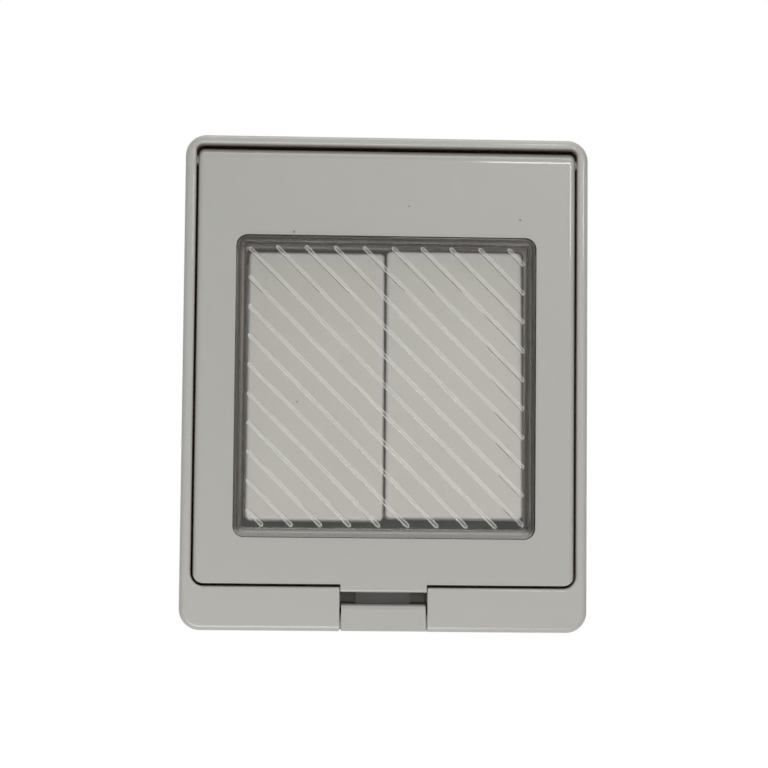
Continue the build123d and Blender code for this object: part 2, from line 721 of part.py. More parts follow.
for name, (centre, level) in switch_centres.items():
    middle = (centre, level)
    rocker_plane = leaning(rocker_pivot_depth, level, rocker_tilt)
    arm_plane = leaning(arm_pivot_depth, level, -arm_tilt)
    block_places = [(centre + x, level + z) for x, z in terminal_places]

    # Moulded housing with a contact chamber, terminal pockets and two bearing ears
    with BuildPart() as switch_housing:
        with BuildSketch(facing(switch_back_depth)):
            with Locations(middle):
                RectangleRounded(switch_body_width, switch_body_height, rocker_corner)
        extrude(amount=switch_flange_depth - switch_back_depth)
        with BuildSketch(facing(switch_flange_depth)):
            with Locations(middle):
                RectangleRounded(switch_flange_width, switch_flange_height, rocker_corner)
        extrude(amount=switch_flange_thickness)
        with BuildSketch(facing(bridge_depth)):
            with Locations(middle):
                Rectangle(switch_neck_width, switch_neck_height)
        extrude(amount=switch_neck_depth - bridge_depth)
        for end in (1, -1):
            with BuildSketch(Plane.YZ.offset(centre - switch_claw_length / 2)):
                neck_end = level + end * switch_neck_height / 2
                with BuildLine():
                    Polyline(
                        (-bridge_screw_seat, neck_end - end * joint_overlap),
                        (-bridge_screw_seat, neck_end + end * switch_claw_reach),
                        (-bridge_screw_seat - switch_claw_height, neck_end - end * joint_overlap),
                        close=True,
                    )
                make_face()
            extrude(amount=switch_claw_length)
        with BuildSketch(facing(switch_floor_depth)):
            with Locations(middle):
                Rectangle(switch_cavity_width, switch_cavity_height)
        extrude(amount=switch_neck_depth - switch_floor_depth, mode=Mode.SUBTRACT)
        with BuildSketch(facing(divider_depth)):
            with Locations(
                (centre, level + switch_divider_offset),
                (centre, level - switch_divider_offset),
            ):
                Rectangle(switch_cavity_width + 2 * joint_overlap, switch_divider_thickness)
        extrude(amount=switch_neck_depth - switch_divider_top_drop - divider_depth)
        for end in (1, -1):
            ear_back = centre + end * ear_offset - ear_thickness / 2
            with BuildSketch(Plane.YZ.offset(ear_back)):
                with Locations((-rocker_pivot_depth, level)):
                    Circle(ear_round)
                with Locations((-switch_neck_depth - ear_height / 2, level)):
                    Rectangle(ear_height, 2 * ear_round)
                with Locations((-rocker_pivot_depth, level)):
                    Circle(rocker_pin_radius + rocker_pin_fit, mode=Mode.SUBTRACT)
            extrude(amount=ear_thickness)
        with BuildSketch(facing(switch_back_depth)):
            with Locations(*block_places):
                Circle(wire_hole_radius + wire_hole_lead)
        extrude(amount=switch_floor, mode=Mode.SUBTRACT)
        for x, z in terminal_places:
            end = 1 if z > 0 else -1
            with BuildSketch(Plane.XY.offset(level + end * terminal_end)):
                with Locations((centre + x, -terminal_screw_height)):
                    Circle(terminal_head_radius + terminal_head_fit)
            extrude(amount=end * terminal_side, mode=Mode.SUBTRACT)
    switch_housing.part.label = f"{name}_switch_housing"
    export_step(switch_housing.part, f"parts/{name}_switch_housing.step")

    # Three brass terminals: one with the saddle for the arm, two with fixed contacts
    with BuildPart() as terminals:
        with BuildSketch(facing(switch_floor_depth)):
            with Locations(*block_places):
                Rectangle(terminal_side, terminal_side)
        extrude(amount=terminal_depth)
        lower_z = level - contact_offset
        upper_z = level + contact_offset
        with BuildSketch(facing(switch_floor_depth)):
            with Locations((centre, lower_z + contact_radius)):
                Rectangle(strip_width, strip_reach, align=(Align.CENTER, Align.MAX))
            with Locations((centre - strip_width, upper_z - contact_radius)):
                Rectangle(
                    strip_width + contact_radius + contact_pad_margin,
                    2 * contact_radius + contact_pad_end,
                    align=(Align.MIN, Align.MIN),
                )
                Rectangle(riser_width, strip_reach, align=(Align.MIN, Align.MIN))
            with Locations((centre + strip_width, level - saddle_half_height)):
                Rectangle(
                    strip_thickness,
                    terminal_inner_edge + saddle_half_height + joint_overlap,
                    align=(Align.MAX, Align.MIN),
                )
        extrude(amount=strip_thickness)
        with BuildSketch(facing(strip_top)):
            with Locations((centre, lower_z), (centre, upper_z)):
                Circle(contact_radius)
        extrude(amount=fixed_contact_height)
        with BuildSketch(facing(switch_floor_depth)):
            with Locations((centre - saddle_half_width, level - saddle_half_height)):
                Rectangle(
                    saddle_half_width + strip_width,
                    2 * saddle_half_height,
                    align=(Align.MIN, Align.MIN),
                )
        extrude(amount=arm_pivot_depth - switch_floor_depth)
        with BuildSketch(Plane.YZ.offset(centre - terminal_side)):
            with Locations((-arm_pivot_depth, level)):
                Circle(arm_bead_radius + arm_bead_fit)
        extrude(amount=2 * terminal_side, mode=Mode.SUBTRACT)
        with BuildSketch(facing(switch_floor_depth)):
            with Locations(*block_places):
                Circle(wire_hole_radius)
        extrude(amount=wire_hole_depth, mode=Mode.SUBTRACT)
        for x, z in terminal_places:
            end = 1 if z > 0 else -1
            with BuildSketch(Plane.XY.offset(level + end * terminal_end)):
                with Locations((centre + x, -terminal_screw_height)):
                    Circle(terminal_screw_radius + screw_fit)
            extrude(amount=-end * terminal_side / 2, mode=Mode.SUBTRACT)
    terminals.part.label = f"{name}_terminals"
    export_step(terminals.part, f"parts/{name}_terminals.step")

    # Clamping screws of the three terminals
    with BuildPart() as terminal_screws:
        for x, z in terminal_places:
            end = 1 if z > 0 else -1
            face = Plane.XY.offset(level + end * terminal_end)
            with BuildSketch(face):
                with Locations((centre + x, -terminal_screw_height)):
                    Circle(terminal_head_radius)
            extrude(amount=end * terminal_head_height)
            with BuildSketch(face):
                with Locations((centre + x, -terminal_screw_height)):
                    Circle(terminal_screw_radius)
            extrude(amount=-end * terminal_screw_reach)
            with BuildSketch(face.offset(end * terminal_head_height)):
                with Locations((centre + x, -terminal_screw_height)):
                    Rectangle(2 * terminal_head_radius, terminal_slot_width)
            extrude(amount=-end * terminal_head_height / 2, mode=Mode.SUBTRACT)
    terminal_screws.part.label = f"{name}_terminal_screws"
    export_step(terminal_screws.part, f"parts/{name}_terminal_screws.step")

    # See-saw contact arm, resting with its lower contact closed
    with BuildPart() as contact_arm:
        with BuildSketch(arm_plane.offset(arm_rise)):
            with Locations((centre, 0)):
                RectangleRounded(arm_width, arm_length, arm_width / 4)
        extrude(amount=arm_thickness)
        with BuildSketch(arm_plane.offset(arm_rise)):
            with Locations((centre, contact_offset), (centre, -contact_offset)):
                Circle(contact_radius)
        extrude(amount=-moving_contact_height)
        with BuildSketch(Plane.YZ.offset(centre - saddle_half_width + arm_bead_inset)):
            with Locations((-arm_pivot_depth, level)):
                Circle(arm_bead_radius)
        extrude(amount=2 * (saddle_half_width - arm_bead_inset))
    contact_arm.part.label = f"{name}_contact_arm"
    export_step(contact_arm.part, f"parts/{name}_contact_arm.step")

    # Rocker, resting with its upper end pressed in
    with BuildPart() as rocker:
        with BuildSketch(rocker_plane.offset(rocker_edge)):
            with Locations((centre, 0)):
                RectangleRounded(rocker_width, rocker_height, rocker_corner)
        extrude(amount=rocker_edge_height)
        fillet(rocker.faces().sort_by(Axis.Y)[0].edges(), rocker_edge_round)
        with BuildSketch(rocker_plane.offset(rocker_edge)):
            with Locations((centre, 0)):
                RectangleRounded(
                    rocker_width - 2 * rocker_wall, rocker_height - 2 * rocker_wall, rocker_corner / 2
                )
        extrude(amount=rocker_inner_face - rocker_edge, mode=Mode.SUBTRACT)
        with BuildSketch(rocker_plane.offset(-rocker_leg_drop)):
            with Locations((centre - rocker_leg_offset, 0), (centre + rocker_leg_offset, 0)):
                Rectangle(rocker_leg_thickness, rocker_leg_width)
        extrude(amount=rocker_leg_drop + rocker_inner_face)
        with BuildSketch(rocker_plane.offset(-plunger_tube_drop)):
            with Locations((centre, 0)):
                Circle(plunger_tube_radius)
        extrude(amount=plunger_tube_drop + rocker_inner_face)
        with BuildSketch(rocker_plane.offset(-plunger_tube_drop)):
            with Locations((centre, 0)):
                Circle(plunger_radius + plunger_fit)
        extrude(amount=plunger_tube_drop + plunger_bore_top, mode=Mode.SUBTRACT)
        for end in (1, -1):
            with BuildSketch(Plane.YZ.offset(centre + end * rocker_leg_offset)):
                with Locations((-rocker_pivot_depth, level)):
                    Circle(rocker_pin_radius)
            extrude(amount=end * (switch_cavity_width / 2 + rocker_pin_reach - rocker_leg_offset))
    rocker.part.label = f"{name}_rocker"
    export_step(rocker.part, f"parts/{name}_rocker.step")

    # Plunger that slides in the tube of the rocker and tips the arm over
    with BuildPart() as plunger:
        with BuildSketch(rocker_plane.offset(plunger_shoulder)):
            with Locations((centre, 0)):
                Circle(plunger_radius)
        extrude(amount=plunger_top - plunger_shoulder)
        with BuildSketch(rocker_plane.offset(-plunger_reach)):
            with Locations((centre, 0)):
                Circle(plunger_tip_radius)
        extrude(amount=plunger_reach + plunger_shoulder)
        fillet(plunger.faces().sort_by(Axis.Y)[-1].edges(), plunger_tip_round)
    plunger.part.label = f"{name}_plunger"
    export_step(plunger.part, f"parts/{name}_plunger.step")

    # Coil spring above the plunger
    spring_foot = rocker_plane.offset(plunger_top + plunger_spring_end)
    with BuildPart() as plunger_spring:
        with BuildLine() as coil:
            Helix(
                pitch=plunger_spring_length / plunger_spring_turns,
                height=plunger_spring_length,
                radius=plunger_spring_radius,
                center=tuple(spring_foot.from_local_coords((centre, 0, 0))),
                direction=tuple(spring_foot.z_dir),
            )
        with BuildSketch(Plane(origin=coil.line @ 0, z_dir=coil.line % 0)):
            Circle(plunger_spring_wire)
        sweep(path=coil.line, is_frenet=True)
    plunger_spring.part.label = f"{name}_plunger_spring"
    export_step(plunger_spring.part, f"parts/{name}_plunger_spring.step")

# Lid with its window opening, hinge pins, pull tab, catch and stakes
lid_middle = (lid_top + lid_bottom) / 2
tab_half_width = notch_width / 2 - tab_side_gap
catch_bottom = lid_bottom - catch_drop
stake_half = clamp_step_half + clamp_rim / 2
stake_half_height = clamp_step_half_height + clamp_rim / 2
stake_places = [
    (x * stake_half, window_centre + z * stake_half_height)
    for x in (-1, 0, 1)
    for z in (-1, 0, 1)
    if x or z
]

with BuildPart() as lid:
    with BuildSketch(Plane.YZ.offset(-lid_half_width)) as lid_section:
        with Locations((-rim_depth + lid_edge_height / 2, lid_middle)):
            Rectangle(lid_edge_height, lid_height)
        fillet(lid_section.vertices().group_by(Axis.Y)[-1].sort_by(Axis.X)[0], lid_top_round)
    extrude(amount=2 * lid_half_width)
    lid_sides = lid.faces().filter_by(Axis.X)
    fillet([side.edges().sort_by(Axis.Y)[0] for side in lid_sides], lid_side_round)
    with BuildSketch(facing(lid_edge_depth)) as lid_outline:
        with Locations((0, lid_middle)):
            Rectangle(2 * lid_half_width, lid_height)
        fillet(lid_outline.vertices().group_by(Axis.Y)[0], lid_bottom_corner)
    extrude(amount=lid_edge_height, mode=Mode.INTERSECT)
    with BuildSketch(facing(lid_edge_depth)):
        with Locations((0, lid_middle)):
            RectangleRounded(
                2 * (lid_half_width - lid_skirt),
                lid_height - 2 * lid_skirt,
                lid_bottom_corner - lid_skirt,
            )
    extrude(amount=lid_edge_height - lid_plate, mode=Mode.SUBTRACT)
    with BuildSketch(facing(lid_back_depth)):
        with Locations((0, window_centre)):
            RectangleRounded(
                2 * (window_half + window_gap),
                2 * (window_half_height + window_gap),
                window_corner + window_gap,
            )
    extrude(amount=lid_plate, mode=Mode.SUBTRACT)
    for side in (1, -1):
        with BuildSketch(Plane.YZ.offset(side * (lid_half_width - hinge_pin_root))):
            with Locations((-hinge_depth, hinge_height)):
                Circle(hinge_pin_radius)
        extrude(amount=side * (hinge_pin_root + lid_side_gap + hinge_pin_reach))
    with BuildSketch(Plane.YZ.offset(-tab_half_width)) as tab_section:
        with Locations((-rim_depth + tab_thickness / 2, lid_bottom + lid_skirt / 2)):
            Rectangle(tab_thickness, tab_drop + lid_skirt / 2, align=(Align.CENTER, Align.MAX))
        fillet(tab_section.vertices().group_by(Axis.Y)[0].sort_by(Axis.X)[0], tab_round)
    extrude(amount=2 * tab_half_width)
    with BuildSketch(Plane.YZ.offset(-catch_width / 2)):
        with BuildLine():
            Polyline(
                (-lid_edge_depth, lid_bottom + lid_skirt / 2),
                (-lid_edge_depth, lid_bottom),
                (-lid_edge_depth - catch_ramp, catch_bottom),
                (-lid_edge_depth - catch_thickness, catch_bottom),
                (-lid_edge_depth - catch_thickness, lid_bottom + lid_skirt / 2),
                close=True,
            )
        make_face()
    extrude(amount=catch_width)
    with BuildSketch(facing(lid_back_depth)):
        with Locations(*stake_places):
            Circle(stake_radius)
    extrude(amount=-(lid_back_depth - clamp_back_depth + stake_head_height))
    with BuildSketch(facing(clamp_back_depth)):
        with Locations(*stake_places):
            Circle(stake_head_radius)
    extrude(amount=-stake_head_height)
lid.part.label = "lid"
export_step(lid.part, "parts/lid.step")

# Clear flexible window with diagonal ribs, held by a flange behind the lid
window_slope = degrees(atan(window_side_slope / window_rise))
ribbed_half = window_half - window_side_slope - rib_border_x
ribbed_half_height = window_half_height - window_side_slope - rib_border_z
ribs_each_way = int((ribbed_half + ribbed_half_height) / rib_pitch)
rib_centre = window_centre - rib_drop

with BuildPart() as window_membrane:
    with BuildSketch(facing(clamp_front_depth)):
        with Locations((0, window_centre)):
            RectangleRounded(2 * flange_half, 2 * flange_half_height, 2 * window_corner)
    extrude(amount=window_flange_thickness)
    with BuildSketch(facing(clamp_front_depth)):
        with Locations((0, window_centre)):
            RectangleRounded(2 * window_half, 2 * window_half_height, window_corner)
    extrude(amount=rim_depth - clamp_front_depth)
    with BuildSketch(facing(rim_depth)):
        with Locations((0, window_centre)):
            RectangleRounded(2 * window_half, 2 * window_half_height, window_corner)
    extrude(amount=window_rise, taper=window_slope)
    fillet(window_membrane.faces().sort_by(Axis.Y)[0].edges(), window_edge_round)
    with BuildSketch(facing(clamp_front_depth)):
        with Locations((0, window_centre)):
            RectangleRounded(2 * window_inner_half, 2 * window_inner_half_height, window_corner / 2)
    extrude(amount=rim_depth - clamp_front_depth, mode=Mode.SUBTRACT)
    with BuildSketch(facing(rim_depth)):
        with Locations((0, window_centre)):
            RectangleRounded(2 * window_inner_half, 2 * window_inner_half_height, window_corner / 2)
    extrude(amount=window_rise - window_thickness, taper=window_slope, mode=Mode.SUBTRACT)
    for step in range(-ribs_each_way, ribs_each_way + 1):
        total = step * rib_pitch
        left = max(-ribbed_half, total - ribbed_half_height)
        right = min(ribbed_half, total + ribbed_half_height)
        middle_x = (left + right) / 2
        with BuildSketch(facing(window_front_depth)):
            with Locations((middle_x, rib_centre + total - middle_x)):
                SlotCenterToCenter(
                    (right - left) * 2**0.5 - rib_width, rib_width, rotation=-45
                )
        extrude(amount=rib_height, taper=rib_side_slope)
window_membrane.part.label = "window_membrane"
export_step(window_membrane.part, "parts/window_membrane.step")

# Clamp frame that is staked to the lid and traps the window flange
clamp_inner_half = window_inner_half + clamp_window_gap
clamp_inner_half_height = window_inner_half_height + clamp_window_gap
seal_inner_half = window_inner_half - lid_seal_overlap
seal_inner_half_height = window_inner_half_height - lid_seal_overlap
seal_rib_inset = (lid_seal_width - lid_seal_rib) / 2
groove_width = lid_seal_rib + 2 * lid_seal_groove_fit
groove_inner_half = seal_inner_half + seal_rib_inset - lid_seal_groove_fit
groove_inner_half_height = seal_inner_half_height + seal_rib_inset - lid_seal_groove_fit

with BuildPart() as window_clamp_frame:
    with BuildSketch(facing(clamp_back_depth)):
        with Locations((0, window_centre)):
            RectangleRounded(2 * clamp_outer_half, 2 * clamp_outer_half_height, 2 * window_corner)
    extrude(amount=clamp_thickness + window_flange_thickness)
    with BuildSketch(facing(clamp_front_depth)):
        with Locations((0, window_centre)):
            RectangleRounded(2 * clamp_step_half, 2 * clamp_step_half_height, 2 * window_corner)
    extrude(amount=window_flange_thickness, mode=Mode.SUBTRACT)
    with BuildSketch(facing(clamp_back_depth)):
        with Locations((0, window_centre)):
            RectangleRounded(2 * clamp_inner_half, 2 * clamp_inner_half_height, window_corner / 2)
    extrude(amount=clamp_thickness, mode=Mode.SUBTRACT)
    with BuildSketch(facing(clamp_back_depth)):
        with Locations(*stake_places):
            Circle(stake_radius + stake_fit)
    extrude(amount=clamp_thickness + window_flange_thickness, mode=Mode.SUBTRACT)
    with BuildSketch(facing(clamp_back_depth)):
        with Locations((0, window_centre)):
            RectangleRounded(
                2 * (groove_inner_half + groove_width),
                2 * (groove_inner_half_height + groove_width),
                window_corner,
            )
            RectangleRounded(
                2 * groove_inner_half,
                2 * groove_inner_half_height,
                window_corner / 2,
                mode=Mode.SUBTRACT,
            )
    extrude(amount=lid_seal_rib_height + lid_seal_groove_fit, mode=Mode.SUBTRACT)
window_clamp_frame.part.label = "window_clamp_frame"
export_step(window_clamp_frame.part, "parts/window_clamp_frame.step")

# Rubber seal under the lid, which closes on the collar round the rockers
lid_seal_back_depth = tray_depth + collar_height + lid_seal_clearance
seal_rib_half = seal_inner_half + seal_rib_inset
seal_rib_half_height = seal_inner_half_height + seal_rib_inset

with BuildPart() as lid_seal:
    with BuildSketch(facing(lid_seal_back_depth)):
        with Locations((0, window_centre)):
            RectangleRounded(
                2 * (seal_inner_half + lid_seal_width),
                2 * (seal_inner_half_height + lid_seal_width),
                window_corner,
            )
            RectangleRounded(
                2 * seal_inner_half,
                2 * seal_inner_half_height,
                window_corner / 2,
                mode=Mode.SUBTRACT,
            )
    extrude(amount=clamp_back_depth - lid_seal_back_depth)
    with BuildSketch(facing(clamp_back_depth)):
        with Locations((0, window_centre)):
            RectangleRounded(
                2 * (seal_rib_half + lid_seal_rib),
                2 * (seal_rib_half_height + lid_seal_rib),
                window_corner,
            )
            RectangleRounded(
                2 * seal_rib_half,
                2 * seal_rib_half_height,
                window_corner / 2,
                mode=Mode.SUBTRACT,
            )
    extrude(amount=lid_seal_rib_height)
lid_seal.part.label = "lid_seal"
export_step(lid_seal.part, "parts/lid_seal.step")

# Latch: a finger plate on an arm, with a nose over the catch of the lid
latch_half_width = notch_width / 2 - latch_side_gap
latch_nose_front = latch_nose_depth + latch_nose_thickness

with BuildPart() as latch:
    with BuildSketch(Plane.YZ.offset(-latch_half_width)) as latch_section:
        with Locations((-rim_depth, latch_bottom)):
            Rectangle(latch_plate, latch_top - latch_bottom, align=(Align.MIN, Align.MIN))
        with Locations((-rim_depth, latch_top)):
            Rectangle(rim_depth - latch_pivot_depth, latch_arm, align=(Align.MIN, Align.MAX))
        fillet(latch_section.vertices().group_by(Axis.X)[0].sort_by(Axis.Y)[-1], latch_top_round)
    extrude(amount=2 * latch_half_width)
    with BuildSketch(Plane.YZ.offset(-latch_half_width)):
        with Locations((-latch_pivot_depth, latch_pivot_height)):
            Circle(latch_barrel_radius)
    extrude(amount=2 * latch_half_width)
    with BuildSketch(Plane.YZ.offset(-latch_half_width - latch_pin_reach)):
        with Locations((-latch_pivot_depth, latch_pivot_height)):
            Circle(latch_pin_radius)
    extrude(amount=2 * (latch_half_width + latch_pin_reach))
    with BuildSketch(Plane.YZ.offset(-latch_nose_width / 2)):
        with BuildLine():
            Polyline(
                (-latch_nose_depth, latch_top - latch_arm / 2),
                (-latch_nose_depth, latch_nose_tip),
                (-latch_nose_depth - latch_nose_flat, latch_nose_tip),
                (-latch_nose_front, latch_nose_tip - latch_nose_ramp),
                (-latch_nose_front, latch_top - latch_arm / 2),
                close=True,
            )
        make_face()
    extrude(amount=latch_nose_width)
    with BuildSketch(Plane.YZ.offset(-latch_tail_width / 2)):
        with Locations((-latch_pivot_depth, latch_tail_top)):
            Rectangle(
                latch_pivot_depth - latch_tail_depth,
                latch_tail_thickness,
                align=(Align.MIN, Align.MAX),
            )
    extrude(amount=latch_tail_width)
latch.part.label = "latch"
export_step(latch.part, "parts/latch.step")

# Small coil spring that lifts the latch shut
latch_spring_end = latch_spring_wire + spring_end_gap
latch_spring_length = notch_top - latch_tail_top - 2 * latch_spring_end

with BuildPart() as latch_spring:
    with BuildLine() as latch_coil:
        Helix(
            pitch=latch_spring_length / latch_spring_turns,
            height=latch_spring_length,
            radius=latch_spring_radius,
            center=(0, -latch_spring_depth, latch_tail_top + latch_spring_end),
        )
    with BuildSketch(Plane(origin=latch_coil.line @ 0, z_dir=latch_coil.line % 0)):
        Circle(latch_spring_wire)
    sweep(path=latch_coil.line, is_frenet=True)
latch_spring.part.label = "latch_spring"
export_step(latch_spring.part, "parts/latch_spring.step")
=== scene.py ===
# %% [markdown]
# # An outdoor switch behind a ribbed window
#
# This lesson dresses a finished model of a weatherproof double switch. The model arrives with its
# exact shape, so no part of the housing, lid or window is moved or reshaped here. What is left is
# what a photographer and a moulder would care about: the camera, the light, and the finish of
# every piece.

# %% Load the model
import json
from math import radians

import bpy
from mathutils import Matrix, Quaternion, Vector


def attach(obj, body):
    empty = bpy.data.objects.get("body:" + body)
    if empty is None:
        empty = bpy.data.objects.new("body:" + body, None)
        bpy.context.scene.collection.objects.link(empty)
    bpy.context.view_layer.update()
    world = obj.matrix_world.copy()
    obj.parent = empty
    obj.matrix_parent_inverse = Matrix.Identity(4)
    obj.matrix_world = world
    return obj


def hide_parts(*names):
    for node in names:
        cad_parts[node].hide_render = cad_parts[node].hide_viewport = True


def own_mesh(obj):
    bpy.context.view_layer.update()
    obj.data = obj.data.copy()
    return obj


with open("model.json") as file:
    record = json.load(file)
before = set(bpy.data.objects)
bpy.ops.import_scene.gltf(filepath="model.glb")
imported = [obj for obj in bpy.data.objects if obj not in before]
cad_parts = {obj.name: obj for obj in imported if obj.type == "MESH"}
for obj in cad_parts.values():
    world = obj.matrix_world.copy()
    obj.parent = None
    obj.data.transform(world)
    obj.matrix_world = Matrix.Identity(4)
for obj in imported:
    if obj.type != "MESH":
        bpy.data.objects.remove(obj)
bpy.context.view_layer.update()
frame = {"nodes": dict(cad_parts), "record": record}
nodes = frame["nodes"]
print("pieces loaded:", len(nodes))

# %% [markdown]
# ## Camera
#
# The switch was photographed from arm's length with a short telephoto view, a little from below
# and from the left, and the camera was not quite level. A camera could be nudged by eye until it
# looks right. It is quicker to write down where it stands, what it looks at and how far it leans,
# because each number then means one thing.

# %% Camera
camera_place = Vector((-0.01708, -0.49361, -0.03073))
camera_target = Vector((-0.00005, -0.045, 0.0002))
camera_lean = radians(0.55)
film_width_mm = 36.0
lens_length_mm = 103.58
nearest_seen = 0.01

camera_data = bpy.data.cameras.new("camera")
camera_data.sensor_width = film_width_mm
camera_data.lens = lens_length_mm
camera_data.clip_start = nearest_seen
camera = bpy.data.objects.new("camera", camera_data)
bpy.context.scene.collection.objects.link(camera)
camera.location = camera_place
camera.rotation_mode = "QUATERNION"
aim = (camera_target - camera_place).to_track_quat("-Z", "Y")
camera.rotation_quaternion = aim @ Quaternion((0, 0, 1), camera_lean)
bpy.context.scene.camera = camera
print("camera stands", round((camera_target - camera_place).length, 3), "m away")

# %% [markdown]
# ## Helpers for nodes
#
# Every finish below is a small network of nodes. Typing a link for each wire hides the idea, so a
# few helpers do it. The first one decides everything: a value that is a socket is linked, and any
# other value is typed in.

# %% Node helpers
def fill(tree, socket, value):
    """Links a value that is a socket, and types in any other."""
    if isinstance(value, bpy.types.NodeSocket):
        tree.links.new(value, socket)
    else:
        socket.default_value = value


def add(tree, kind, **values):
    """Adds a node. Names that start with a capital are inputs, and the others are properties."""
    node = tree.nodes.new(kind)
    for name, value in values.items():
        if name[0].isupper():
            fill(tree, node.inputs[name.replace("_", " ")], value)
        else:
            setattr(node, name, value)
    return node


def maths(tree, operation, *values, clamp=False):
    """One sum on numbers or sockets, and its result."""
    node = add(tree, "ShaderNodeMath", operation=operation, use_clamp=clamp)
    for socket, value in zip(node.inputs, values):
        fill(tree, socket, value)
    return node.outputs[0]


def spread(tree, value, start, end, top=1.0):
    """Turns start into 0 and end into top, with a straight ramp between them."""
    ramp = add(tree, "ShaderNodeMapRange", Value=value, From_Min=start, From_Max=end, To_Max=top)
    return ramp.outputs[0]


print("node helpers: fill, add, maths, spread")

# %% [markdown]
# ## Helpers for colours, shaders and noise
#
# Two colours and two shaders are mixed often enough to deserve a line each. The sockets of a
# colour mix have to be picked by number, because the node keeps one set of them for each kind of
# value. Noise is always laid out in the object's own metres here, so that it stays on the piece
# when the piece moves.

# %% Mixing and noise helpers
mix_share, mix_first, mix_second, mix_result = 0, 6, 7, 2


def mixed(tree, share, first, second):
    """A mix of two colours or sockets, and its result."""
    node = add(tree, "ShaderNodeMix", data_type="RGBA")
    for index, value in ((mix_share, share), (mix_first, first), (mix_second, second)):
        fill(tree, node.inputs[index], value)
    return node.outputs[mix_result]


def mixed_shader(tree, share, first, second):
    """A mix of two shaders, and its result."""
    node = add(tree, "ShaderNodeMixShader")
    for socket, value in zip(node.inputs, (share, first, second)):
        tree.links.new(value, socket)
    return node.outputs[0]


def own_place(tree):
    """The place on the piece, in its own metres."""
    return add(tree, "ShaderNodeTexCoord").outputs["Object"]


def noise(tree, place, scale, detail, roughness=0.5):
    """Soft noise from 0 to 1."""
    node = add(
        tree, "ShaderNodeTexNoise", Vector=place, Scale=scale, Detail=detail, Roughness=roughness
    )
    return node.outputs[0]


print("more helpers: mixed, mixed_shader, own_place, noise")

# %% [markdown]
# ## Helpers for groups and finishes
#
# An effect that several finishes share is built once, as a group with named inputs and outputs,
# and is then placed in each finish with its own values. Copying its nodes would look the same, but
# a later change would have to be made in every copy.

# %% Group and finish helpers
def new_group(name, inputs, outputs):
    """An empty group with named numbers going in and coming out."""
    group = bpy.data.node_groups.new(name, "ShaderNodeTree")
    for label, value in inputs.items():
        socket = group.interface.new_socket(label, in_out="INPUT", socket_type="NodeSocketFloat")
        socket.default_value = value
    for label in outputs:
        group.interface.new_socket(label, in_out="OUTPUT", socket_type="NodeSocketFloat")
    entry = group.nodes.new("NodeGroupInput")
    leave = group.nodes.new("NodeGroupOutput")
    return group, entry.outputs, leave.inputs


def placed(tree, group, **values):
    """Places a group in a finish, fills its inputs, and gives its outputs."""
    return add(tree, "ShaderNodeGroup", node_tree=group, **values).outputs


def blank_finish(name):
    """A new material, with its nodes and its shader."""
    material = bpy.data.materials.new(name)
    material.use_nodes = True
    return material, material.node_tree, material.node_tree.nodes["Principled BSDF"]


print("group helpers: new_group, placed, blank_finish")

# %% [markdown]
# ## The skin of a moulding
#
# Moulded plastic looks even from far away, but the tool that pressed it left a very fine grain,
# and the melt cooled with soft, wide waves. A picture of plastic could be wrapped round the piece.
# Noise in the object's own metres is better here: it has no seams, and one group serves every
# moulding, each with its own grain size.

# %% Group for moulded plastic
cloud_per_metre = 35.0
moulded_skin, skin_in, skin_out = new_group(
    "moulded_skin",
    {"Grain per metre": 2600.0, "Wave per metre": 60.0},
    ("Grain", "Waves", "Cloud"),
)
place = own_place(moulded_skin)
for name, scale, detail, roughness in (
    ("Grain", skin_in["Grain per metre"], 3.0, 0.6),
    ("Waves", skin_in["Wave per metre"], 1.5, 0.4),
    ("Cloud", cloud_per_metre, 5.0, 0.55),
):
    result = noise(moulded_skin, place, scale, detail, roughness)
    moulded_skin.links.new(result, skin_out[name])
print("group", moulded_skin.name, "has", len(moulded_skin.nodes), "nodes")

# %% [markdown]
# ## Specks and dust
#
# A switch from a shelf is clean but not perfect: a few dark specks sit in the surface, and a
# little dust lies on it. Specks could be separate tiny pieces. A pattern of random cells gives
# round dots at random places for nothing, and the random colour of each cell keeps only some of
# them.

# %% Group for specks and dust
share_without_speck = 0.55
dust_per_metre = 240.0
dust_starts, dust_full = 0.52, 0.78
small_marks, marks_in, marks_out = new_group(
    "small_marks", {"Specks per metre": 90.0, "Speck size": 0.03}, ("Specks", "Dust")
)
place = own_place(small_marks)
dots = add(
    small_marks, "ShaderNodeTexVoronoi", Vector=place, Scale=marks_in["Specks per metre"]
).outputs
inside = maths(small_marks, "LESS_THAN", dots["Distance"], marks_in["Speck size"])
luck = add(small_marks, "ShaderNodeSeparateColor", Color=dots["Color"]).outputs[0]
chosen = maths(small_marks, "GREATER_THAN", luck, share_without_speck)
specks = maths(small_marks, "MULTIPLY", inside, chosen)
dust = spread(
    small_marks, noise(small_marks, place, dust_per_metre, 6.0, 0.75), dust_starts, dust_full
)
small_marks.links.new(specks, marks_out["Specks"])
small_marks.links.new(dust, marks_out["Dust"])
print("group", small_marks.name, "has", len(small_marks.nodes), "nodes")

# %% [markdown]
# ## One speck at one place
#
# A few specks are easy to see on the front, and a viewer remembers where they were. Random dots
# can't land on the right spots, so this group marks one round dot at a place that is given across
# and up, in metres. It is used once for each speck.

